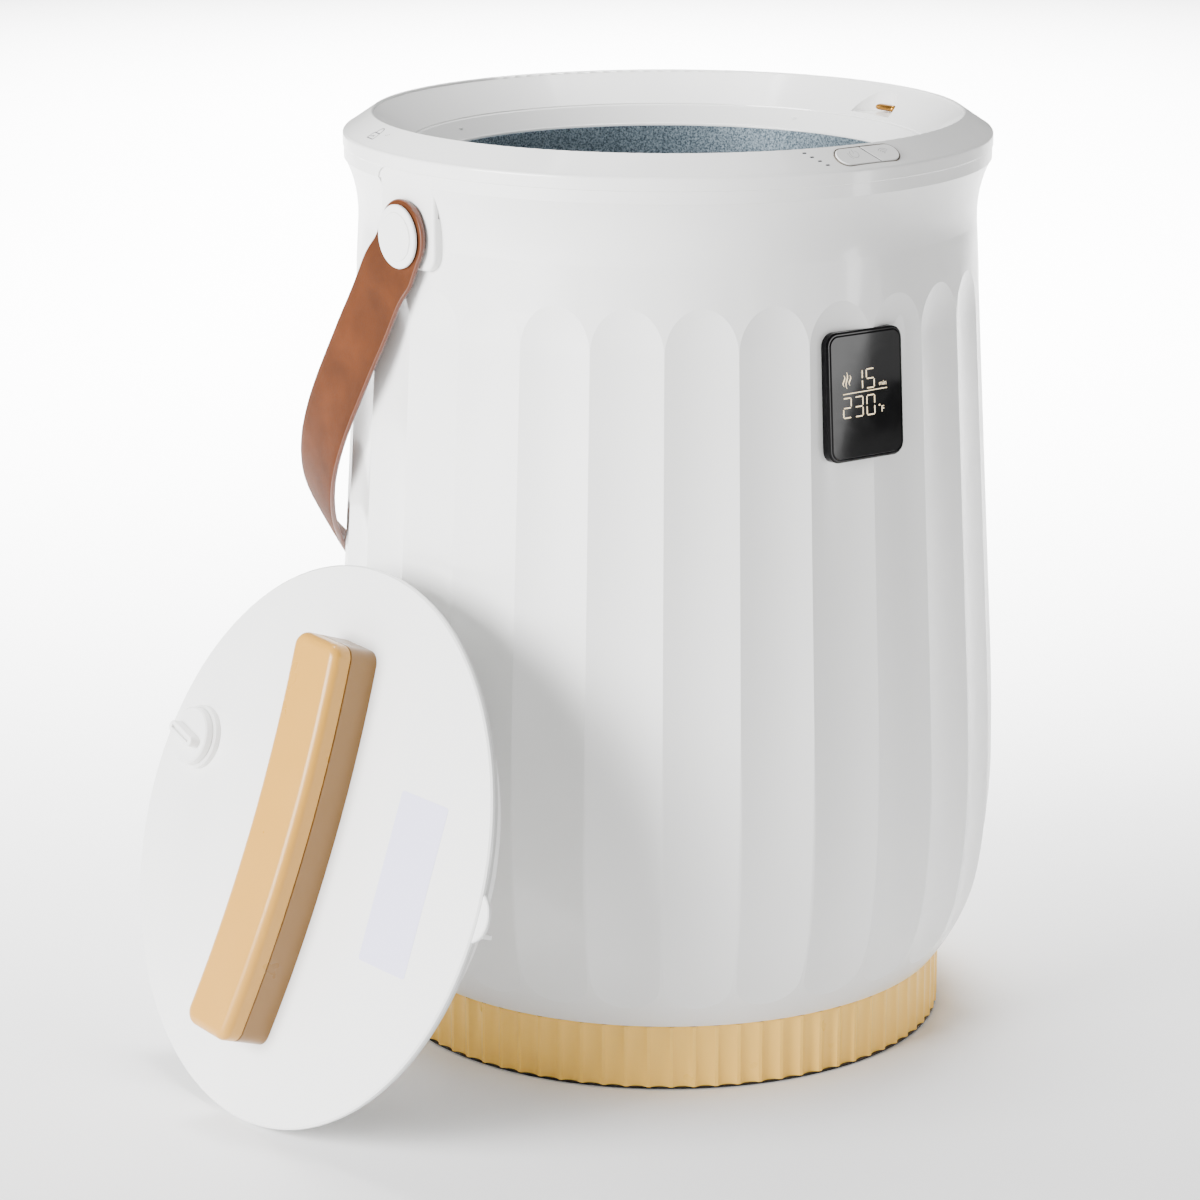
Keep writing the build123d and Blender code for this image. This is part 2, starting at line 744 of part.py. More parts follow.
def lid_lug():
    """Half-round lug on the lid's edge that drops into the rim's pocket; its rib presses the pin."""
    tab = Pos(lug_centre, 0, -3.2) * extrude(Circle(lug_radius), 2.2)
    tab = chamfer(tab.edges(), 0.5) - rod(lid_radius + 0.1, -8, 2)
    stem = Pos(125.5, 0, -2.2) * Box(13.6, 14.0, 1.6)
    foot = Pos(120.9, 0, -3.9) * Box(5.2, 22, 1.8)
    press_rib = Pos(133.6, -6.6, -5.2) * Box(3.4, 2.0, 5.0)
    return tab + stem + foot + press_rib


def grip_outline(inset=0.0):
    """Crescent outline of the lid's handle, shrunk all round by an inset."""
    end = grip_length / 2 - inset
    half = grip_width / 2 - inset
    outer = ThreePointArc((half, end), (half + grip_bow, 0), (half, -end))
    inner = ThreePointArc((-half, -end), (grip_bow - half, 0), (-half, end))
    face = make_face([outer, Line(outer @ 1, inner @ 0), inner, Line(inner @ 1, outer @ 0)])
    return fillet(face.vertices(), max(7.0 - inset, 2.0))


def handle_base():
    """Lower shell of the lid's handle, hollow below, with two screw bosses."""
    shell = extrude(grip_outline(), grip_seam)
    shell = chamfer(shell.faces().sort_by(Axis.Z)[-1].edges(), 0.5)
    shell = grip_place * (shell - extrude(grip_outline(2.6), grip_seam - 2.6))
    for place in grip_screws_at():
        shell = shell + place * rod(5.0, 0, grip_seam - 2) - place * rod(1.6, -1, 11)
    return shell


def handle_cap():
    """Upper shell of the lid's handle, with broad rounded edges."""
    cap = Pos(0, 0, grip_seam) * extrude(grip_outline(), grip_height - grip_seam)
    cap = fillet(cap.faces().sort_by(Axis.Z)[-1].edges(), 4.5)
    cap = chamfer(cap.faces().sort_by(Axis.Z)[0].edges(), 0.5)
    hollow = Pos(0, 0, grip_seam) * extrude(grip_outline(6.5), grip_height - grip_seam - 2.8)
    return grip_place * (cap - hollow)


def handle_screws():
    """Two screws through the lid into the handle."""
    screw = rod(3.8, -4.8, -lid_thickness) + rod(1.55, -lid_thickness, 10.0)
    return Compound(children=[place * screw for place in grip_screws_at()])


def knob_ring():
    """Fixed ring round the lock knob."""
    collar = rod(15.2, 0, 3.4)
    collar = chamfer(collar.edges().sort_by(Axis.Z)[-1], 0.8)
    return knob_place * (collar - rod(5.4, -1, 5))


def lock_knob():
    """Round knob with a grooved finger grip on a shaft that ends in a square."""
    cap = rod(13.8, 3.7, 7.6)
    cap = chamfer(cap.edges().sort_by(Axis.Z)[-1], 0.7)
    grip = Pos(0, 0, 7.0) * extrude(SlotOverall(21, 5.4), 6.0)
    grip = fillet(grip.faces().sort_by(Axis.Z)[-1].edges(), 0.7)
    groove = Pos(0, 0, 12.2) * Box(16, 1.5, 2)
    shaft = rod(5.0, -lid_thickness, 7.0) + Pos(0, 0, -4.2) * Box(6.4, 6.4, 2.4)
    return knob_place * (cap + grip + shaft - groove - rod(1.5, -6, 2.2))


def latch_tongue():
    """Latch arm on the knob's square; it points along the rim when the lock is open."""
    plate = Circle(7.5) + Pos(0, -12.75) * Rectangle(11, 25.5) + Pos(0, -25.5) * Circle(5.5)
    plate = plate - Rectangle(6.4, 6.4)
    return knob_place * Pos(0, 0, -5.4) * extrude(plate, 2.1)


def latch_screw():
    """Screw that holds the latch arm on the knob's shaft."""
    return knob_place * (rod(3.6, -6.8, -5.4) + rod(1.5, -5.4, 2.0))


# ---------------------------------------------------------------- files

def single_pieces():
    """Every piece by its file name."""
    fixed = dict(
        outer_shell=outer_shell(),
        top_collar=top_collar(),
        rim_lights=rim_lights(),
        inner_barrel=inner_barrel(),
        barrel_gasket=barrel_gasket(),
        barrel_screws=barrel_screws(),
        heater_band=heater_band(),
        heater_clip=heater_clip(),
        insulation_sleeve=insulation_sleeve(),
        thermostat=thermostat(),
        base_skirt=base_skirt(),
        base_plate=base_plate(),
        rubber_feet=rubber_feet(),
        base_screws=base_screws(),
        control_board=control_board(),
        cord_gland=cord_gland(),
        display_frame=display_frame(),
        display_glass=display_glass(),
        display_board=display_board(),
        button_bezel=button_bezel(),
        button_board=button_board(),
        switch_housing=switch_housing(),
        pivot_studs=pivot_studs(),
        pivot_washers=pivot_washers(),
        pivot_cap_right=pivot_cap(pivot_places()[0]),
        pivot_cap_left=pivot_cap(pivot_places()[1]),
    )
    moving = dict(
        power_button=button_cap(-1),
        temperature_button=button_cap(1),
        switch_plunger=switch_plunger(),
        strap_handle=strap_handle(),
    )
    return {**fixed, **moving}


def lid_pieces():
    """Every piece that stays with the lid, placed where the lid leans."""
    flat = dict(
        lid_cover=lid_cover(),
        lid_pan=lid_pan(),
        lid_core=lid_core(),
        lid_gasket=lid_gasket(),
        lid_lug=lid_lug(),
        handle_base=handle_base(),
        handle_cap=handle_cap(),
        handle_screws=handle_screws(),
        knob_ring=knob_ring(),
        lock_knob=lock_knob(),
        latch_tongue=latch_tongue(),
        latch_screw=latch_screw(),
    )
    return {name: lid_frame() * piece for name, piece in flat.items()}


for name, piece in {**single_pieces(), **lid_pieces()}.items():
    export_step(piece, "parts/" + name + ".step")
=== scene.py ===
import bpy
import json
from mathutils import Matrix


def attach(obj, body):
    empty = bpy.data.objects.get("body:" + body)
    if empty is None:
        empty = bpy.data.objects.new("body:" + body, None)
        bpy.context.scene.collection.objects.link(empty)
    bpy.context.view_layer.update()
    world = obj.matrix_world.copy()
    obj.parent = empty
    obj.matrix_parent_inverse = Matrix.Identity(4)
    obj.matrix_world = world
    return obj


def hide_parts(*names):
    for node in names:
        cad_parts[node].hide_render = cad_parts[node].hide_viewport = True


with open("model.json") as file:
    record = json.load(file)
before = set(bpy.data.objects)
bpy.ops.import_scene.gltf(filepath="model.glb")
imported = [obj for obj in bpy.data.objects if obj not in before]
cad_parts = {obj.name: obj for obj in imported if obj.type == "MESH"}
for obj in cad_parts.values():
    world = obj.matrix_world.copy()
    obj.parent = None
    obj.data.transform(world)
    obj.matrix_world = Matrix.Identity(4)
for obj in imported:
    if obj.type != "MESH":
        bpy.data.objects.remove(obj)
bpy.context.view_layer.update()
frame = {"nodes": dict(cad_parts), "record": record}

import json
from math import cos, pi, radians, sin, sqrt, tan

import bmesh
import bpy
from mathutils import Matrix, Vector

mm = 0.001        # lengths below are in millimetres, as on a drawing


def linearColour(hexText):
    # an sRGB hex value as the linear colour that shaders want
    parts = [int(hexText[i:i + 2], 16) / 255 for i in (0, 2, 4)]
    return tuple(c / 12.92 if c <= 0.04045 else ((c + 0.055) / 1.055) ** 2.4 for c in parts) + (1.0,)


def perMetre(size):
    # texture scale for a pattern whose cells are this many millimetres across
    return 1 / (size * mm)


def addNode(tree, kind, settings=None, values=None, links=None):
    # one node with its settings, its socket values and its links
    node = tree.nodes.new(kind)
    for name, value in (settings or {}).items():
        setattr(node, name, value)
    for socket, value in (values or {}).items():
        node.inputs[socket].default_value = value
    for socket, source in (links or {}).items():
        tree.links.new(source, node.inputs[socket])
    return node


def newMaterial(name, values):
    # a material with a Principled shader, the values that are the same all over, and place coordinates
    material = bpy.data.materials.new(name)
    material.use_nodes = True
    tree = material.node_tree
    tree.nodes.clear()
    shader = addNode(tree, "ShaderNodeBsdfPrincipled", values=values)
    addNode(tree, "ShaderNodeOutputMaterial", links={"Surface": shader.outputs[0]})
    place = addNode(tree, "ShaderNodeTexCoord").outputs["Object"]
    return material, tree, shader, place


def feed(tree, shader, sources):
    # patterns into the shader's own sockets
    for socket, source in sources.items():
        tree.links.new(source, shader.inputs[socket])


def mouldedAbs(name, look):
    # ABS from a polished steel mould: an even gloss, with a faint long wave that bends highlights
    even = {"IOR": 1.53, "Specular IOR Level": look["shine"], "Coat Weight": look["skin"], "Coat Roughness": 0.06}
    material, tree, shader, place = newMaterial(name, even)
    cloud = addNode(
        tree, "ShaderNodeTexNoise", values={"Scale": perMetre(90.0), "Detail": 2.0}, links={"Vector": place})
    tone = addNode(
        tree, "ShaderNodeMix", {"data_type": "RGBA"},
        {"A": linearColour(look["shade"]), "B": linearColour(look["colour"])}, {"Factor": cloud.outputs["Fac"]})
    haze = addNode(
        tree, "ShaderNodeTexNoise", values={"Scale": perMetre(24.0), "Detail": 4.0}, links={"Vector": place})
    gloss = addNode(
        tree, "ShaderNodeMapRange", values={
            "From Min": 0.3, "From Max": 0.7, "To Min": look["roughness"] - 0.03, "To Max": look["roughness"] + 0.04},
        links={"Value": haze.outputs["Fac"]})
    swell = addNode(
        tree, "ShaderNodeTexNoise", values={"Scale": perMetre(look["wave"]), "Detail": 1.0},
        links={"Vector": place})
    grain = addNode(
        tree, "ShaderNodeTexNoise", values={"Scale": perMetre(look["grain"]), "Detail": 2.0},
        links={"Vector": place})
    wave = addNode(
        tree, "ShaderNodeBump", values={"Strength": 0.5, "Distance": look["waveDepth"] * mm},
        links={"Height": swell.outputs["Fac"]})
    skin = addNode(
        tree, "ShaderNodeBump", values={"Strength": 0.5, "Distance": look["grainDepth"] * mm},
        links={"Height": grain.outputs["Fac"], "Normal": wave.outputs["Normal"]})
    feed(tree, shader, {
        "Base Color": tone.outputs["Result"], "Roughness": gloss.outputs["Result"], "Normal": skin.outputs["Normal"]})
    return material


def hammeredPot():
    # aluminium with a sprayed hammer-tone coat: specks about 0.5 mm across, drawn at 1.1 mm so that they show
    look = {"light": "8B9AA4", "dark": "3E4D57", "dimple": 2.2, "depth": 0.12, "speck": 0.9}
    material, tree, shader, place = newMaterial("hammerTonePot", {"Metallic": 0.45})
    speck = addNode(
        tree, "ShaderNodeTexNoise", values={"Scale": perMetre(look["speck"]), "Detail": 3.0}, links={"Vector": place})
    share = addNode(
        tree, "ShaderNodeMapRange", values={"From Min": 0.38, "From Max": 0.66, "To Min": 0.0, "To Max": 1.0},
        links={"Value": speck.outputs["Fac"]})
    tone = addNode(
        tree, "ShaderNodeMix", {"data_type": "RGBA"},
        {"A": linearColour(look["dark"]), "B": linearColour(look["light"])}, {"Factor": share.outputs["Result"]})
    dimples = addNode(
        tree, "ShaderNodeTexVoronoi", {"feature": "SMOOTH_F1"},
        {"Scale": perMetre(look["dimple"]), "Smoothness": 0.6, "Randomness": 0.9}, {"Vector": place})
    gloss = addNode(
        tree, "ShaderNodeMapRange", values={"From Min": 0.0, "From Max": 0.8, "To Min": 0.38, "To Max": 0.56},
        links={"Value": dimples.outputs["Distance"]})
    relief = addNode(
        tree, "ShaderNodeBump", values={"Strength": 0.6, "Distance": look["depth"] * mm},
        links={"Height": dimples.outputs["Distance"]})
    feed(tree, shader, {
        "Base Color": tone.outputs["Result"], "Roughness": gloss.outputs["Result"], "Normal": relief.outputs["Normal"]})
    return material


def tannedLeather():
    # vegetable-tanned hide, pressed and waxed: pebbles about 0.9 mm across, drawn at 1.3 mm so that they show
    look = {"light": "542B10", "dark": "40200A", "pebble": 1.3, "pore": 0.6, "cloud": 26.0}
    material, tree, shader, place = newMaterial("tannedLeather", {"IOR": 1.48, "Specular IOR Level": 0.15})
    cloud = addNode(
        tree, "ShaderNodeTexNoise",
        values={"Scale": perMetre(look["cloud"]), "Detail": 5.0, "Distortion": 0.4}, links={"Vector": place})
    pores = addNode(
        tree, "ShaderNodeTexNoise", values={"Scale": perMetre(look["pore"]), "Detail": 3.0},
        links={"Vector": place})
    depthOfDye = addNode(
        tree, "ShaderNodeMath", {"operation": "MULTIPLY_ADD"}, {1: 0.35},
        {0: pores.outputs["Fac"], 2: cloud.outputs["Fac"]})
    share = addNode(
        tree, "ShaderNodeMapRange", values={"From Min": 0.48, "From Max": 0.86, "To Min": 0.0, "To Max": 1.0},
        links={"Value": depthOfDye.outputs["Value"]})
    tone = addNode(
        tree, "ShaderNodeMix", {"data_type": "RGBA"},
        {"A": linearColour(look["dark"]), "B": linearColour(look["light"])}, {"Factor": share.outputs["Result"]})
    gloss = addNode(
        tree, "ShaderNodeMapRange", values={"From Min": 0.3, "From Max": 0.7, "To Min": 0.66, "To Max": 0.8},
        links={"Value": pores.outputs["Fac"]})
    pebbles = addNode(
        tree, "ShaderNodeTexVoronoi", {"feature": "DISTANCE_TO_EDGE"}, {"Scale": perMetre(look["pebble"])},
        {"Vector": place})
    crease = addNode(
        tree, "ShaderNodeMapRange", values={"From Min": 0.0, "From Max": 0.18, "To Min": 0.0, "To Max": 1.0},
        links={"Value": pebbles.outputs["Distance"]})
    grain = addNode(
        tree, "ShaderNodeBump", values={"Strength": 0.45, "Distance": 0.05 * mm},
        links={"Height": crease.outputs["Result"]})
    skin = addNode(
        tree, "ShaderNodeBump", values={"Strength": 0.4, "Distance": 0.04 * mm},
        links={"Height": pores.outputs["Fac"], "Normal": grain.outputs["Normal"]})
    feed(tree, shader, {
        "Base Color": tone.outputs["Result"], "Roughness": gloss.outputs["Result"], "Normal": skin.outputs["Normal"]})
    return material


def edgePaint():
    # the strap's cut edge, sealed with dark dye and burnished: smoother and redder than the face
    look = {"light": "6A3A22", "dark": "4E291A", "fibre": 0.8}
    material, tree, shader, place = newMaterial("burnishedLeatherEdge", {"IOR": 1.48})
    fibre = addNode(
        tree, "ShaderNodeTexNoise", values={"Scale": perMetre(look["fibre"]), "Detail": 3.0}, links={"Vector": place})
    tone = addNode(
        tree, "ShaderNodeMix", {"data_type": "RGBA"},
        {"A": linearColour(look["dark"]), "B": linearColour(look["light"])}, {"Factor": fibre.outputs["Fac"]})
    gloss = addNode(
        tree, "ShaderNodeMapRange", values={"From Min": 0.3, "From Max": 0.7, "To Min": 0.32, "To Max": 0.46},
        links={"Value": fibre.outputs["Fac"]})
    relief = addNode(
        tree, "ShaderNodeBump", values={"Strength": 0.4, "Distance": 0.05 * mm}, links={"Height": fibre.outputs["Fac"]})
    feed(tree, shader, {
        "Base Color": tone.outputs["Result"], "Roughness": gloss.outputs["Result"], "Normal": relief.outputs["Normal"]})
    return material


def polishedWindow():
    # polished acrylic, painted black behind and dimmed by a coat: deep black, mirror gloss, faint wiping haze
    material, tree, shader, place = newMaterial("polishedBlackAcrylic", {"IOR": 1.49, "Specular IOR Level": 0.15})
    haze = addNode(
        tree, "ShaderNodeTexNoise", values={"Scale": perMetre(14.0), "Detail": 3.0, "Distortion": 0.6},
        links={"Vector": place})
    tone = addNode(
        tree, "ShaderNodeMix", {"data_type": "RGBA"},
        {"A": linearColour("020203"), "B": linearColour("050506")}, {"Factor": haze.outputs["Fac"]})
    gloss = addNode(
        tree, "ShaderNodeMapRange", values={"From Min": 0.3, "From Max": 0.7, "To Min": 0.03, "To Max": 0.06},
        links={"Value": haze.outputs["Fac"]})
    feed(tree, shader, {"Base Color": tone.outputs["Result"], "Roughness": gloss.outputs["Result"]})
    return material


def litSegment():
    # light-emitting bars behind a diffuser: a warm white that varies a little from spot to spot
    material, tree, shader, place = newMaterial("diffusedLight", {"Roughness": 0.5, "Emission Strength": 1.2})
    glow = addNode(
        tree, "ShaderNodeTexNoise", values={"Scale": perMetre(1.1), "Detail": 1.0}, links={"Vector": place})
    tone = addNode(
        tree, "ShaderNodeMix", {"data_type": "RGBA"},
        {"A": linearColour("EBC98C"), "B": linearColour("FFF3D8")}, {"Factor": glow.outputs["Fac"]})
    feed(tree, shader, {"Base Color": tone.outputs["Result"], "Emission Color": tone.outputs["Result"]})
    return material


def printedInk(name, light, dark):
    # pad-printed ink: flat and a little rougher than the plastic, thinner in tiny spots
    material, tree, shader, place = newMaterial(name, {"IOR": 1.5})
    spots = addNode(
        tree, "ShaderNodeTexNoise", values={"Scale": perMetre(0.5), "Detail": 2.0}, links={"Vector": place})
    tone = addNode(
        tree, "ShaderNodeMix", {"data_type": "RGBA"},
        {"A": linearColour(dark), "B": linearColour(light)}, {"Factor": spots.outputs["Fac"]})
    gloss = addNode(
        tree, "ShaderNodeMapRange", values={"From Min": 0.3, "From Max": 0.7, "To Min": 0.4, "To Max": 0.55},
        links={"Value": spots.outputs["Fac"]})
    feed(tree, shader, {"Base Color": tone.outputs["Result"], "Roughness": gloss.outputs["Result"]})
    return material


def coatedPaper():
    # a coated paper label: a soft sheen, with faint fibres under the coat
    material, tree, shader, place = newMaterial("coatedPaper", {"IOR": 1.5})
    fibre = addNode(
        tree, "ShaderNodeTexNoise", values={"Scale": perMetre(0.7), "Detail": 4.0, "Distortion": 1.2},
        links={"Vector": place})
    tone = addNode(
        tree, "ShaderNodeMix", {"data_type": "RGBA"},
        {"A": linearColour("CFCDE6"), "B": linearColour("DAD8F0")}, {"Factor": fibre.outputs["Fac"]})
    gloss = addNode(
        tree, "ShaderNodeMapRange", values={"From Min": 0.3, "From Max": 0.7, "To Min": 0.3, "To Max": 0.42},
        links={"Value": fibre.outputs["Fac"]})
    relief = addNode(
        tree, "ShaderNodeBump", values={"Strength": 0.3, "Distance": 0.01 * mm}, links={"Height": fibre.outputs["Fac"]})
    feed(tree, shader, {
        "Base Color": tone.outputs["Result"], "Roughness": gloss.outputs["Result"], "Normal": relief.outputs["Normal"]})
    return material


def turnedMetal(name, look):
    # metal off a lathe or a header: fine rings or scratches across a satin surface
    material, tree, shader, place = newMaterial(name, {"Metallic": 1.0})
    squeezed = addNode(tree, "ShaderNodeMapping", values={"Scale": look["along"]}, links={"Vector": place})
    marks = addNode(
        tree, "ShaderNodeTexNoise", values={"Scale": perMetre(look["mark"]), "Detail": 3.0},
        links={"Vector": squeezed.outputs["Vector"]})
    tone = addNode(
        tree, "ShaderNodeMix", {"data_type": "RGBA"},
        {"A": linearColour(look["dark"]), "B": linearColour(look["light"])}, {"Factor": marks.outputs["Fac"]})
    gloss = addNode(
        tree, "ShaderNodeMapRange", values={
            "From Min": 0.3, "From Max": 0.7, "To Min": look["smooth"], "To Max": look["smooth"] + 0.16},
        links={"Value": marks.outputs["Fac"]})
    relief = addNode(
        tree, "ShaderNodeBump", values={"Strength": 0.3, "Distance": 0.02 * mm}, links={"Height": marks.outputs["Fac"]})
    feed(tree, shader, {
        "Base Color": tone.outputs["Result"], "Roughness": gloss.outputs["Result"], "Normal": relief.outputs["Normal"]})
    return material


def mouldedRubber(name, look):
    # rubber or silicone from a blasted mould: dull, with a powdery bloom
    material, tree, shader, place = newMaterial(name, {"IOR": 1.45})
    bloom = addNode(
        tree, "ShaderNodeTexNoise", values={"Scale": perMetre(5.0), "Detail": 6.0}, links={"Vector": place})
    pits = addNode(
        tree, "ShaderNodeTexNoise", values={"Scale": perMetre(0.6), "Detail": 2.0}, links={"Vector": place})
    tone = addNode(
        tree, "ShaderNodeMix", {"data_type": "RGBA"},
        {"A": linearColour(look["dark"]), "B": linearColour(look["light"])}, {"Factor": bloom.outputs["Fac"]})
    gloss = addNode(
        tree, "ShaderNodeMapRange", values={
            "From Min": 0.3, "From Max": 0.7, "To Min": look["roughness"] - 0.06, "To Max": look["roughness"] + 0.08},
        links={"Value": bloom.outputs["Fac"]})
    relief = addNode(
        tree, "ShaderNodeBump", values={"Strength": 0.5, "Distance": 0.03 * mm}, links={"Height": pits.outputs["Fac"]})
    feed(tree, shader, {
        "Base Color": tone.outputs["Result"], "Roughness": gloss.outputs["Result"], "Normal": relief.outputs["Normal"]})
    return material


def circuitBoard():
    # glass-fibre board under green solder mask: a faint weave 1 mm apart
    material, tree, shader, place = newMaterial("solderMaskedBoard", {"IOR": 1.5})
    weft = addNode(
        tree, "ShaderNodeTexWave", {"bands_direction": "X"}, {"Scale": perMetre(6.3), "Distortion": 0.3},
        {"Vector": place})
    tone = addNode(
        tree, "ShaderNodeMix", {"data_type": "RGBA"},
        {"A": linearColour("0C4A2A"), "B": linearColour("13613A")}, {"Factor": weft.outputs["Fac"]})
    gloss = addNode(
        tree, "ShaderNodeMapRange", values={"From Min": 0.0, "From Max": 1.0, "To Min": 0.3, "To Max": 0.42},
        links={"Value": weft.outputs["Fac"]})
    relief = addNode(
        tree, "ShaderNodeBump", values={"Strength": 0.4, "Distance": 0.02 * mm}, links={"Height": weft.outputs["Fac"]})
    feed(tree, shader, {
        "Base Color": tone.outputs["Result"], "Roughness": gloss.outputs["Result"], "Normal": relief.outputs["Normal"]})
    return material


def needledFelt():
    # needled fibre felt: dull, with tangled strands about 0.5 mm thick
    material, tree, shader, place = newMaterial("needledFelt", {"Sheen Weight": 0.3, "Roughness": 0.9})
    strands = addNode(
        tree, "ShaderNodeTexNoise", values={"Scale": perMetre(1.4), "Detail": 8.0, "Distortion": 2.5},
        links={"Vector": place})
    tone = addNode(
        tree, "ShaderNodeMix", {"data_type": "RGBA"},
        {"A": linearColour("BFB79F"), "B": linearColour("E2DCC8")}, {"Factor": strands.outputs["Fac"]})
    relief = addNode(
        tree, "ShaderNodeBump", values={"Strength": 0.6, "Distance": 0.4 * mm},
        links={"Height": strands.outputs["Fac"]})
    feed(tree, shader, {"Base Color": tone.outputs["Result"], "Normal": relief.outputs["Normal"]})
    return material


whiteAbs = mouldedAbs("polishedWhiteAbs", {
    "colour": "F0F0EF", "shade": "EAEAE8", "roughness": 0.22, "shine": 0.5, "skin": 0.35,
    "wave": 16.0, "waveDepth": 0.05, "grain": 1.6, "grainDepth": 0.006})
satinMould = {        # shared by the beige and its two copies with painted light and painted shade
    "roughness": 0.3, "shine": 0.3, "skin": 0.08, "wave": 12.0, "waveDepth": 0.04, "grain": 1.0,
    "grainDepth": 0.012}
beigeAbs = mouldedAbs("satinBeigeAbs", {**satinMould, "colour": "BC8A36", "shade": "B58331"})
# a darker copy of the beige for the grip's lower piece: painted shade for the grip's shaded side
beigePaintedShadeAbs = mouldedAbs("satinBeigePaintedShadeAbs", {**satinMould, "colour": "7E5A26", "shade": "765322"})
# a paler copy of the beige for the skirt: painted light that makes up for the dim light low at the front
beigePaintedLightAbs = mouldedAbs("satinBeigePaintedLightAbs", {**satinMould, "colour": "FFCE62", "shade": "FAC65A"})
blackAbs = mouldedAbs("satinBlackAbs", {
    "colour": "0C0C0D", "shade": "060607", "roughness": 0.3, "shine": 0.3, "skin": 0.05,
    "wave": 10.0, "waveDepth": 0.03, "grain": 0.8, "grainDepth": 0.02})
taupeAbs = mouldedAbs("smokedTrimAbs", {
    "colour": "6E655B", "shade": "60584F", "roughness": 0.3, "shine": 0.4, "skin": 0.2,
    "wave": 10.0, "waveDepth": 0.02, "grain": 0.8, "grainDepth": 0.01})
lightPipe = mouldedAbs("smokedLightPipe", {
    "colour": "4A4B4E", "shade": "3C3D40", "roughness": 0.25, "shine": 0.4, "skin": 0.3,
    "wave": 4.0, "waveDepth": 0.01, "grain": 0.5, "grainDepth": 0.01})
hammerTone = hammeredPot()
hide = tannedLeather()
hideEdge = edgePaint()
blackWindow = polishedWindow()
litDigits = litSegment()
greyInk = printedInk("greyPadPrint", "B4B4B4", "A2A2A3")
# dark pad print for the lock sign, and painted shadow for the strip in the keys' gap
darkInkAndShadow = printedInk("darkPadPrintAndPaintedShadow", "66666A", "58585C")
paper = coatedPaper()
brass = turnedMetal("turnedBrass", {
    "light": "B5823A", "dark": "8A5F24", "smooth": 0.2, "mark": 0.4, "along": (1, 8, 1)})
zincSteel = turnedMetal("zincPlatedSteel", {
    "light": "C4C6C8", "dark": "9FA1A4", "smooth": 0.28, "mark": 0.6, "along": (1, 1, 3)})
foil = turnedMetal("rolledFoil", {
    "light": "D6D7D8", "dark": "BDBEC0", "smooth": 0.22, "mark": 2.0, "along": (1, 1, 4)})
blackRubber = mouldedRubber("mouldedRubber", {"light": "2A2A2B", "dark": "1B1B1C", "roughness": 0.78})
greySilicone = mouldedRubber("castSilicone", {"light": "D4D4D2", "dark": "C6C6C4", "roughness": 0.55})
# a darker grey silicone for the gasket at the pot's mouth, drawing the dark line round it
darkSilicone = mouldedRubber("darkGreySilicone", {"light": "5A5C5E", "dark": "48494B", "roughness": 0.55})
boardGreen = circuitBoard()
felt = needledFelt()

dressing = {
    "white_plastic": whiteAbs, "beige_plastic": beigeAbs, "coated_pot": hammerTone, "light_pipe": lightPipe,
    "silicone": greySilicone, "steel": zincSteel, "heater_foil": foil, "insulation": felt,
    "black_plastic": blackAbs, "rubber": blackRubber, "circuit_board": boardGreen,
    "display_window": blackWindow, "bezel_plastic": taupeAbs, "brass": brass, "leather": hide}
ownShade = {        # a paler beige copy on the skirt as painted light, a darker one on the grip's lower piece as painted shade, a darker gasket at the pot's mouth, and the display's tray in the window's gloss
    "base_skirt": beigePaintedLightAbs, "handle_base": beigePaintedShadeAbs, "barrel_gasket": darkSilicone, "display_frame": blackWindow}

for part in frame["record"]["subparts"]:
    for materialSlot in frame["nodes"][part["node"]].material_slots:
        materialSlot.material = ownShade.get(part["node"], dressing[part["material_slot"]])
print("materials on", len(frame["nodes"]), "nodes")


def addPiece(name, mesh, materials, body, place):
    # a finished mesh as a piece that rides on a body
    piece = bpy.data.objects.new(name, mesh)
    bpy.context.scene.collection.objects.link(piece)
    mesh.transform(place)
    for material in materials:
        mesh.materials.append(material)
    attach(piece, body)
    return piece


def meshFrom(name, form):
    # a bmesh as mesh data, with its faces turned outwards
    bmesh.ops.recalc_face_normals(form, faces=form.faces)
    mesh = bpy.data.meshes.new(name)
    form.to_mesh(mesh)
    form.free()
    return mesh


def addPrism(form, outline, thickness, lift=0.0):
    # a thin closed prism on an outline in millimetres
    low = [form.verts.new((x * mm, y * mm, lift * mm)) for x, y in outline]
    high = [form.verts.new((x * mm, y * mm, (lift + thickness) * mm)) for x, y in outline]
    form.faces.new(low[::-1])
    form.faces.new(high)
    for i in range(len(outline)):
        j = (i + 1) % len(outline)
        form.faces.new((low[i], low[j], high[j], high[i]))


def ribbonOutline(points, width):
    # the outline of a line of a given width through points, with pointed or square ends
    left, right = [], []
    for i, point in enumerate(points):
        before, after = points[max(i - 1, 0)], points[min(i + 1, len(points) - 1)]
        run = Vector((after[0] - before[0], after[1] - before[1])).normalized()
        half = (width[i] if isinstance(width, list) else width) / 2
        left.append((point[0] - run.y * half, point[1] + run.x * half))
        right.append((point[0] + run.y * half, point[1] - run.x * half))
    return left + right[::-1]


def arcPoints(centre, radius, start, end, count):
    # points on an arc, in degrees
    turns = [radians(start + (end - start) * i / count) for i in range(count + 1)]
    return [(centre[0] + radius * cos(t), centre[1] + radius * sin(t)) for t in turns]


def frontPlace(radius, height, lean, heading):
    # a place on the body's outside: x to the right, z outwards, leaned back by an angle
    turn = Matrix.Rotation(radians(heading), 4, "Z")
    return turn @ Matrix.Translation((0, -radius * mm, height * mm)) @ Matrix.Rotation(radians(90 - lean), 4, "X")


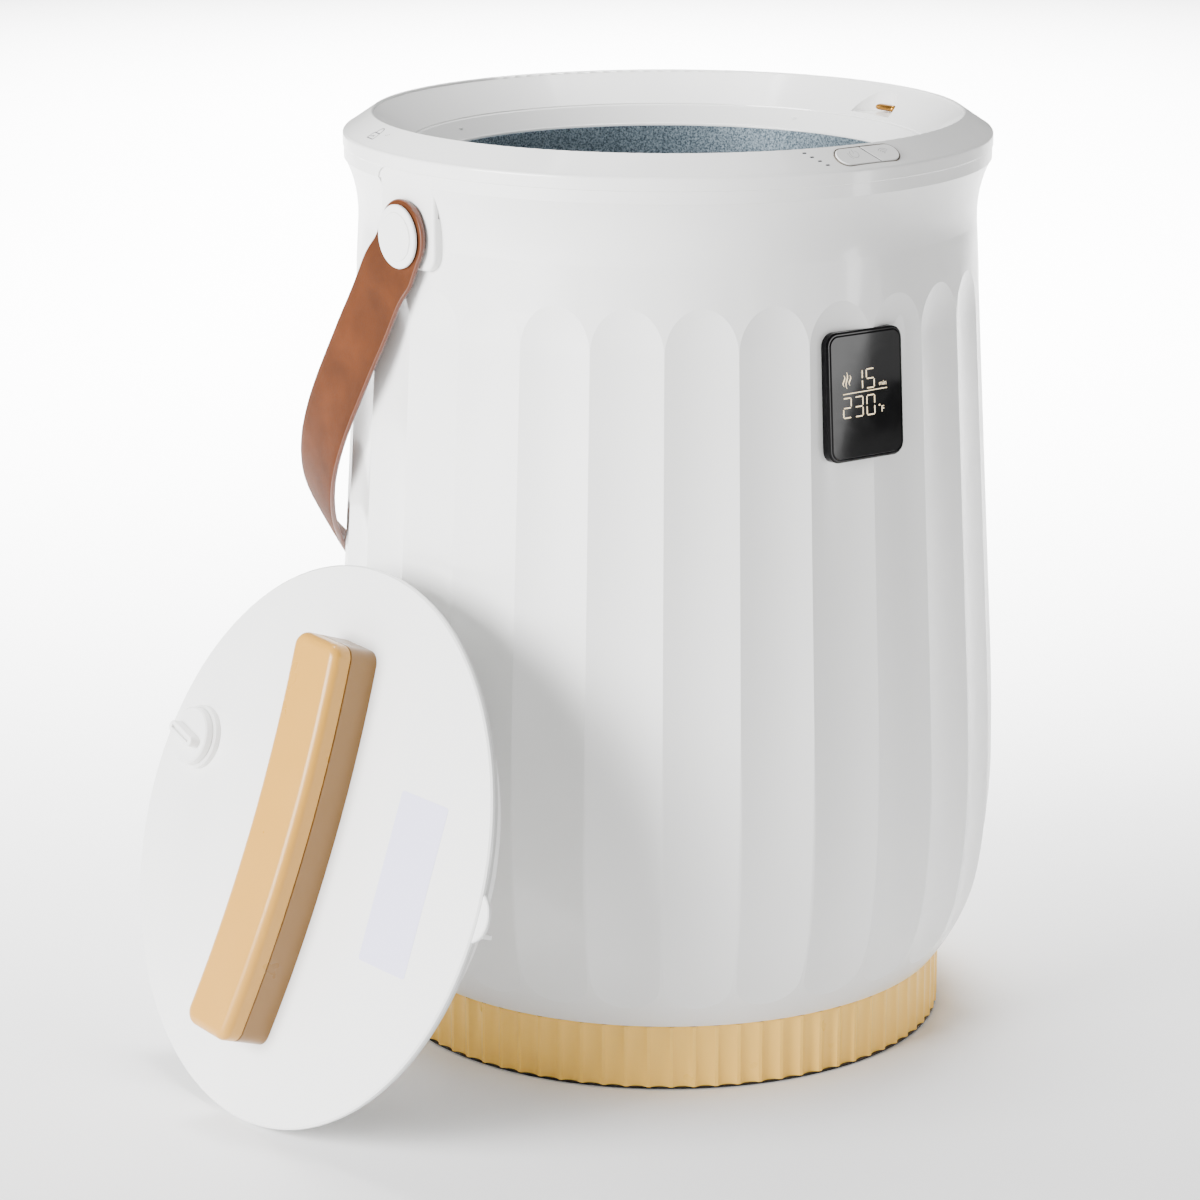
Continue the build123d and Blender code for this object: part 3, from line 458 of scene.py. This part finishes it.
readout = {
    "radius": 152.7, "height": 332.0, "lean": 3.8, "heading": -1.8,        # the window's face
    "columns": (-13.8, -7.0, -0.2), "digitWidth": 5.0, "bar": 0.56, "gap": 0.24,
    "upperRow": (2.7, 11.9), "lowerRow": (-9.6, -0.1), "thickness": 0.05,
    "rule": ((-13.6, 1.5), (11.9, 1.9)), "ruleWidth": 0.4,
    "steam": ((-12.9, 5.0, 10.2), (-11.3, 3.9, 11.5), (-9.5, 5.2, 10.0)),        # x, low and high ends
    "wispSway": 0.5, "wispTip": 0.1, "wispBelly": 0.6,
    "units": (("min", 3.0, (7.2, 3.4)), ("F", 4.0, (8.2, -8.8))), "degree": (7.3, -5.6), "degreeSize": 0.45}
segmentsOf = {"0": "abcdef", "1": "bc", "2": "abged", "3": "abgcd", "5": "afgcd"}


def segmentOutline(key, x, low, high):
    # one bar of a seven-bar digit, with pointed ends
    w, b = readout["digitWidth"], readout["bar"] / 2
    inset = readout["gap"] + b * 0.7
    middle = (low + high) / 2
    flat = {"a": high - b, "g": middle, "d": low + b}
    if key in flat:
        y, left, right = flat[key], x + inset, x + w - inset
        return [(left, y), (left + b, y - b), (right - b, y - b), (right, y), (right - b, y + b), (left + b, y + b)]
    across = x + b if key in "ef" else x + w - b
    bottom, top = (middle + inset, high - inset) if key in "bf" else (low + inset, middle - inset)
    return [
        (across, bottom), (across + b, bottom + b), (across + b, top - b),
        (across, top), (across - b, top - b), (across - b, bottom + b)]


def wispOutline(x, low, high):
    # one wisp of the steam sign, as a wave that tapers at both ends
    sway, tip, belly = readout["wispSway"], readout["wispTip"], readout["wispBelly"]
    shares = [i / 14 for i in range(15)]
    points = [(x - sway * sin(2 * pi * share), low + (high - low) * share) for share in shares]
    return ribbonOutline(points, [tip + belly * sin(pi * share) for share in shares])


def letterMesh(text, size, spot):
    # small letters as a thin solid mesh, with its size and spot in millimetres
    curve = bpy.data.curves.new("letters", "FONT")
    curve.body, curve.size, curve.extrude = text, size * mm, readout["thickness"] * mm / 2
    carrier = bpy.data.objects.new("letters", curve)
    bpy.context.scene.collection.objects.link(carrier)
    mesh = bpy.data.meshes.new_from_object(carrier.evaluated_get(bpy.context.evaluated_depsgraph_get()))
    mesh.transform(Matrix.Translation((spot[0] * mm, spot[1] * mm, readout["thickness"] * mm / 2)))
    bpy.data.objects.remove(carrier)
    bpy.data.curves.remove(curve)
    return mesh


def makeReadout():
    # two rows of digits with a rule between them, three wisps of steam and the units, all one thin piece
    form = bmesh.new()
    rows = ((" 15", readout["upperRow"]), ("230", readout["lowerRow"]))
    for digits, (low, high) in rows:
        for column, digit in zip(readout["columns"], digits):
            for key in segmentsOf.get(digit, ""):
                addPrism(form, segmentOutline(key, column, low, high), readout["thickness"])
    for x, low, high in readout["steam"]:
        addPrism(form, wispOutline(x, low, high), readout["thickness"])
    addPrism(form, ribbonOutline(readout["rule"], readout["ruleWidth"]), readout["thickness"])
    addPrism(form, arcPoints(readout["degree"], readout["degreeSize"], 0, 345, 16), readout["thickness"])
    for text, size, spot in readout["units"]:
        letters = letterMesh(text, size, spot)
        form.from_mesh(letters)
        bpy.data.meshes.remove(letters)
    place = frontPlace(readout["radius"], readout["height"], readout["lean"], readout["heading"])
    addPiece("displayReadout", meshFrom("displayReadout", form), [litDigits], "bucket", place)


makeReadout()
print("readout made")

rimSlope = {"crest": 141.0, "height": 444.2, "angle": 34.2}        # the cone under the rim's sloping top
keySigns = {
    "radius": 146.8, "heading": -0.7, "top": 0.3, "line": 0.3, "thickness": 0.03,
    "power": (-7.2, 0.9), "heat": (9.6, 0.6), "size": 2.3, "dot": 0.4,
    "split": (1.5, 31.2, 6.0),        # along, slant in degrees, half length
    "shadowStripDepth": 0.2, "shadowStripThickness": 0.1}
lockSign = {
    "radius": 147.0, "heading": -104.8, "line": 0.55, "thickness": 0.04, "shear": 0.2,
    "box": ((-4.0, -3.1), (3.6, -3.1), (3.1, 1.0), (-3.5, 1.0)), "bow": (0.3, 2.2), "bowRadius": 2.3,
    "slot": ((-2.3, -1.9), (0.5, -0.8), (1.1, -2.0)), "dots": ((10.3, 1.5), (11.7, 2.0), (13.1, 2.6)),
    "dot": 0.28}


def slopePlace(radius, heading):
    # a place on the rim's sloping top
    height = rimSlope["height"] - (radius - rimSlope["crest"]) * tan(radians(rimSlope["angle"]))
    return frontPlace(radius, height, 90 - rimSlope["angle"], heading)


def makeKeySigns():
    # a power sign and a heat sign on the two keys, and a dark strip low in the gap between them, which is painted
    # shadow
    place = slopePlace(keySigns["radius"], keySigns["heading"])
    lift, line, thickness, size = keySigns["top"], keySigns["line"], keySigns["thickness"], keySigns["size"]
    power = bmesh.new()
    x, y = keySigns["power"]
    addPrism(power, ribbonOutline(arcPoints((x, y), size, 125, 415, 28), line), thickness, lift)
    addPrism(power, ribbonOutline(arcPoints((x, y), size * 1.5, 160, 235, 12), line), thickness, lift)
    addPrism(power, ribbonOutline([(x, y + 0.4), (x, y + size * 1.2)], line), thickness, lift)
    addPiece("powerSign", meshFrom("powerSign", power), [greyInk], "power_key", place)
    # a dark strip low in the gap between the keys: painted shadow, not a part of the real keys
    paintedGapShadow = bmesh.new()
    middle, slant, half = keySigns["split"]
    ends = [(middle - side * half * sin(radians(slant)), side * half * cos(radians(slant))) for side in (-1, 1)]
    addPrism(paintedGapShadow, ribbonOutline(ends, line), keySigns["shadowStripThickness"], lift - keySigns["shadowStripDepth"])
    addPiece("keyGapShadowStrip", meshFrom("keyGapShadowStrip", paintedGapShadow), [darkInkAndShadow], "power_key", place)
    heat = bmesh.new()
    x, y = keySigns["heat"]
    for share in (0.55, 1.0, 1.45):
        bend = arcPoints((x, y - size * 0.6), size * share, 35, 145, 14)
        addPrism(heat, ribbonOutline(bend, line), thickness, lift)
    addPrism(heat, arcPoints((x, y - size * 0.5), keySigns["dot"], 0, 345, 14), thickness, lift)
    addPiece("temperatureSign", meshFrom("temperatureSign", heat), [greyInk], "temperature_key", place)


def makeLockSign():
    # a padlock printed on the rim's slope, beside the lock's keeper, with a row of dots
    line, thickness, shear = lockSign["line"], lockSign["thickness"], lockSign["shear"]
    box, top = lockSign["box"], lockSign["box"][2][1]
    bowX, bowRadius = lockSign["bow"][0], lockSign["bowRadius"]
    bow = [(bowX - bowRadius, top)] + arcPoints(lockSign["bow"], bowRadius, 180, 0, 14) + [(bowX + bowRadius, top)]
    form = bmesh.new()
    for path in [box[i:i + 2] for i in range(3)] + [[box[3], box[0]], bow, lockSign["slot"]]:
        leaned = [(x + shear * (y + 1.0), y) for x, y in path]
        addPrism(form, ribbonOutline(leaned, line), thickness)
    for dot in lockSign["dots"]:
        addPrism(form, arcPoints(dot, lockSign["dot"], 0, 330, 11), thickness)
    place = slopePlace(lockSign["radius"], lockSign["heading"])
    addPiece("lockSign", meshFrom("lockSign", form), [darkInkAndShadow], "bucket", place)


makeKeySigns()
makeLockSign()
print("signs made")

lid = {        # how the lid leans on the body: angles in degrees, then its centre's distance from the body's axis
    "lean": 19.13, "heading": -88.9, "bearing": -86.2, "distance": 221.8, "radius": 130.8, "edge": 3.0,
    "clearance": 0.3}
label = {"centre": (76.0, 1.0), "size": (35.0, 79.0), "corner": 1.6, "thickness": 0.12}


def lidPlace():
    # x towards the lid's edge lug, z out of its face, from its centre
    lean, heading, bearing = (radians(lid[key]) for key in ("lean", "heading", "bearing"))
    x = Vector((cos(heading), sin(heading), 0))
    z = Vector((sin(heading) * cos(lean), -cos(heading) * cos(lean), sin(lean)))
    height = lid["radius"] * cos(lean) + lid["edge"] * sin(lean) + lid["clearance"]
    centre = Vector((lid["distance"] * sin(bearing), -lid["distance"] * cos(bearing), height))
    turn = Matrix((x, z.cross(x), z)).transposed().to_4x4()
    return Matrix.Translation(centre * mm) @ turn


def makeLabel():
    # a blank paper label with rounded corners on the lid's face
    corner = label["corner"]
    halfX, halfY = label["size"][0] / 2 - corner, label["size"][1] / 2 - corner
    outline = []
    for sideX, sideY, start in ((1, 1, 0), (-1, 1, 90), (-1, -1, 180), (1, -1, 270)):
        centre = (label["centre"][0] + sideX * halfX, label["centre"][1] + sideY * halfY)
        outline += arcPoints(centre, corner, start, start + 90, 6)
    form = bmesh.new()
    addPrism(form, outline, label["thickness"])
    addPiece("blankLabel", meshFrom("blankLabel", form), [paper], "lid", lidPlace())


makeLabel()
print("label made")

strap = {
    "pivot": 399.0, "hang": 38.5, "width": 34.0, "thickness": 2.8, "inner": 152.2, "reach": 274.0,
    "sag": 12.0, "edgeRound": 0.9, "crown": 0.25, "endWidth": 1.6,
    "straight": (-17, -14, 0, 6, 10, 13),        # away, along the flat ends at the pivots
    "flare": ((0.5, 16), (2.0, 20.5), (2.8, 24.5)),        # outwards of the straight part, and away
    "bow": ((156.7, 30), (156.9, 42), (157.8, 69), (156.4, 108), (150.6, 139), (139.6, 167), (124.5, 192),
            (104.5, 217), (67, 252))}        # across and away, round to the back


def strapLine():
    # the strap's middle line as (across, away) points, from one pivot to the other
    middle = strap["inner"] + strap["thickness"] / 2
    half = [(middle, away) for away in strap["straight"]]
    half += [(middle + out, away) for out, away in strap["flare"]] + list(strap["bow"])
    return half + [(0, strap["reach"])] + [(-x, y) for x, y in reversed(half)]


def smoothLine(points, step):
    # evenly spaced points on a smooth line, each with its tangent and its distance from the start
    path = [Vector(p) for p in points]
    path = [path[0] * 2 - path[1]] + path + [path[-1] * 2 - path[-2]]
    fine = []
    for a, b, c, d in zip(path, path[1:], path[2:], path[3:]):
        length = (c - b).length
        ta = (c - a) * length / (length + (b - a).length)
        tb = (d - b) * length / ((d - c).length + length)
        for i in range(max(int(length / 0.25), 2)):
            t = i / max(int(length / 0.25), 2)
            fine.append(
                (2 * t**3 - 3 * t**2 + 1) * b + (t**3 - 2 * t**2 + t) * ta
                + (3 * t**2 - 2 * t**3) * c + (t**3 - t**2) * tb)
    fine.append(path[-2])
    result, travelled, due = [], 0.0, 0.0
    for i, point in enumerate(fine):
        travelled += (point - fine[i - 1]).length if i else 0.0
        if travelled >= due or i == len(fine) - 1:
            tangent = (fine[min(i + 1, len(fine) - 1)] - fine[max(i - 1, 0)]).normalized()
            result.append((point, tangent, travelled))
            due = travelled + step
    return result


def sectionPoints(halfWidth):
    # rounded section of the strap: (across its width, outwards), with a slight crown on the outer face
    half, r = strap["thickness"] / 2, min(strap["edgeRound"], halfWidth * 0.4)
    flat = halfWidth - r
    edge = [(flat + r * a, half * b) for a, b in ((0.7, 0.62), (1, 0.2), (1, -0.2), (0.7, -0.62))]
    points = []
    for i in range(9):
        w = flat * (1 - i / 4)
        points.append((w, half - strap["crown"] * (w / halfWidth)**2))
    points += [(-w, out) for w, out in edge]
    points += [(-flat * (1 - i / 4), -half + 0.02) for i in range(9)]
    return points + edge[::-1]


def makeStrap():
    # a flat leather strip on its own line, with rounded ends, painted edges and a sag along its length
    half = strap["width"] / 2
    edgeFaces = (8, 9, 10, 11, 12, 21, 22, 23, 24, 25)        # the section's sides that lie round its two edges
    line = smoothLine(strapLine(), 1.0)
    total = line[-1][2]
    form = bmesh.new()
    rings = []
    for point, tangent, travelled in line:
        fromEnd = min(travelled, total - travelled)
        halfWidth = half
        if fromEnd < half:
            halfWidth = max(sqrt(max(half**2 - (half - fromEnd)**2, 0)), strap["endWidth"])
        outwards = Vector((tangent.y, -tangent.x))
        share = max(point.y, 0) / strap["reach"]
        drop = strap["sag"] * 4 * share * (1 - share)
        ring = []
        for w, out in sectionPoints(halfWidth):
            spot = point + outwards * out
            ring.append(form.verts.new((spot.x * mm, spot.y * mm, (w - drop) * mm)))
        rings.append(ring)
    for first, second in zip(rings, rings[1:]):
        for i in range(len(first)):
            j = (i + 1) % len(first)
            face = form.faces.new((first[i], first[j], second[j], second[i]))
            face.smooth = True
            face.material_index = 1 if i in edgeFaces else 0
    for ring in (rings[0], rings[-1]):
        form.faces.new(ring).material_index = 1
    turn = Matrix.Rotation(radians(strap["hang"] - 90), 4, "X")
    place = Matrix.Translation((0, 0, strap["pivot"] * mm)) @ turn
    piece = addPiece("leatherStrap", meshFrom("leatherStrap", form), [hide, hideEdge], "strap", place)
    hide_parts("strap_handle")


makeStrap()
print("strap made")


def makeFloor():
    # a plain pale floor, far larger than the view
    form = bmesh.new()
    bmesh.ops.create_grid(form, x_segments=1, y_segments=1, size=20.0)
    floor = bpy.data.objects.new("studioFloor", meshFrom("studioFloor", form))
    bpy.context.scene.collection.objects.link(floor)
    material, tree, shader, place = newMaterial("matPaintedFloor", {"Roughness": 0.85, "Specular IOR Level": 0.1})
    cloud = addNode(
        tree, "ShaderNodeTexNoise", values={"Scale": perMetre(900.0), "Detail": 2.0}, links={"Vector": place})
    tone = addNode(
        tree, "ShaderNodeMix", {"data_type": "RGBA"},
        {"A": linearColour("FAFAFA"), "B": linearColour("FDFDFD")}, {"Factor": cloud.outputs["Fac"]})
    feed(tree, shader, {"Base Color": tone.outputs["Result"]})
    floor.data.materials.append(material)


def addSoftbox(name, look):
    # a large soft lamp that points at a spot
    data = bpy.data.lights.new(name, "AREA")
    data.shape, data.energy = "RECTANGLE", look["power"]
    data.size, data.size_y = look["size"]
    data.spread = radians(look.get("beam", 180))
    lamp = bpy.data.objects.new(name, data)
    z = (Vector(look["place"]) - Vector(look["aim"])).normalized()
    x = Vector(look.get("upright", (0, 0, 1))).cross(z).normalized()
    turn = Matrix((x, z.cross(x), z)).transposed().to_4x4()
    lamp.matrix_world = Matrix.Translation(Vector(look["place"])) @ turn
    bpy.context.scene.collection.objects.link(lamp)


lamps = {        # places and sizes in metres, power in watts, beam in degrees
    "leftSoftbox": {"place": (-2.6, 0.1, 1.0), "aim": (0, 0, 0.25), "size": (1.5, 1.3), "power": 250.0},
    "frontSoftbox": {"place": (1.0, -2.5, 0.5), "aim": (0, -0.15, 0.15), "size": (2.0, 0.9), "power": 14.0},
    "floorSoftbox": {        # a narrow beam on the floor behind, clear of the object
        "place": (1.5, 2.0, 3.0), "aim": (1.5, 2.0, 0), "upright": (0.6, 0.8, 0), "size": (2.4, 3.6),
        "power": 420.0, "beam": 50},
    "windowCard": {        # its reflection lies across the window's upper left corner
        "place": (0.697, -1.238, 0.217), "aim": (0, -0.153, 0.332), "upright": (0.328, 0.072, 0.942),
        "size": (0.16, 0.2), "power": 1.2}}
surround = {"colour": "FFFFFF", "strength": 0.42}        # the even light of a pale studio


def makeLight():
    # the lamps in the table above, and the pale surround
    for name, look in lamps.items():
        addSoftbox(name, look)
    world = bpy.data.worlds.new("paleStudio")
    world.use_nodes = True
    background = world.node_tree.nodes["Background"]
    background.inputs["Color"].default_value = linearColour(surround["colour"])
    background.inputs["Strength"].default_value = surround["strength"]
    bpy.context.scene.world = world


view = {
    "place": (-1.1803, -1.5017, 0.7146), "towards": (0.584, 0.769, -0.259), "lens": 120.9, "sensor": 36.0,
    "reach": 60.0, "shift": -0.0008}


def makeCamera():
    # a long lens from the front left, a little above the rim
    data = bpy.data.cameras.new("camera")
    data.lens, data.sensor_width = view["lens"], view["sensor"]
    data.clip_end, data.shift_x = view["reach"], view["shift"]
    camera = bpy.data.objects.new("camera", data)
    camera.location = view["place"]
    camera.rotation_euler = Vector(view["towards"]).to_track_quat("-Z", "Y").to_euler()
    bpy.context.scene.collection.objects.link(camera)
    bpy.context.scene.camera = camera


makeFloor()
makeLight()
makeCamera()
print("stage, light and camera made")
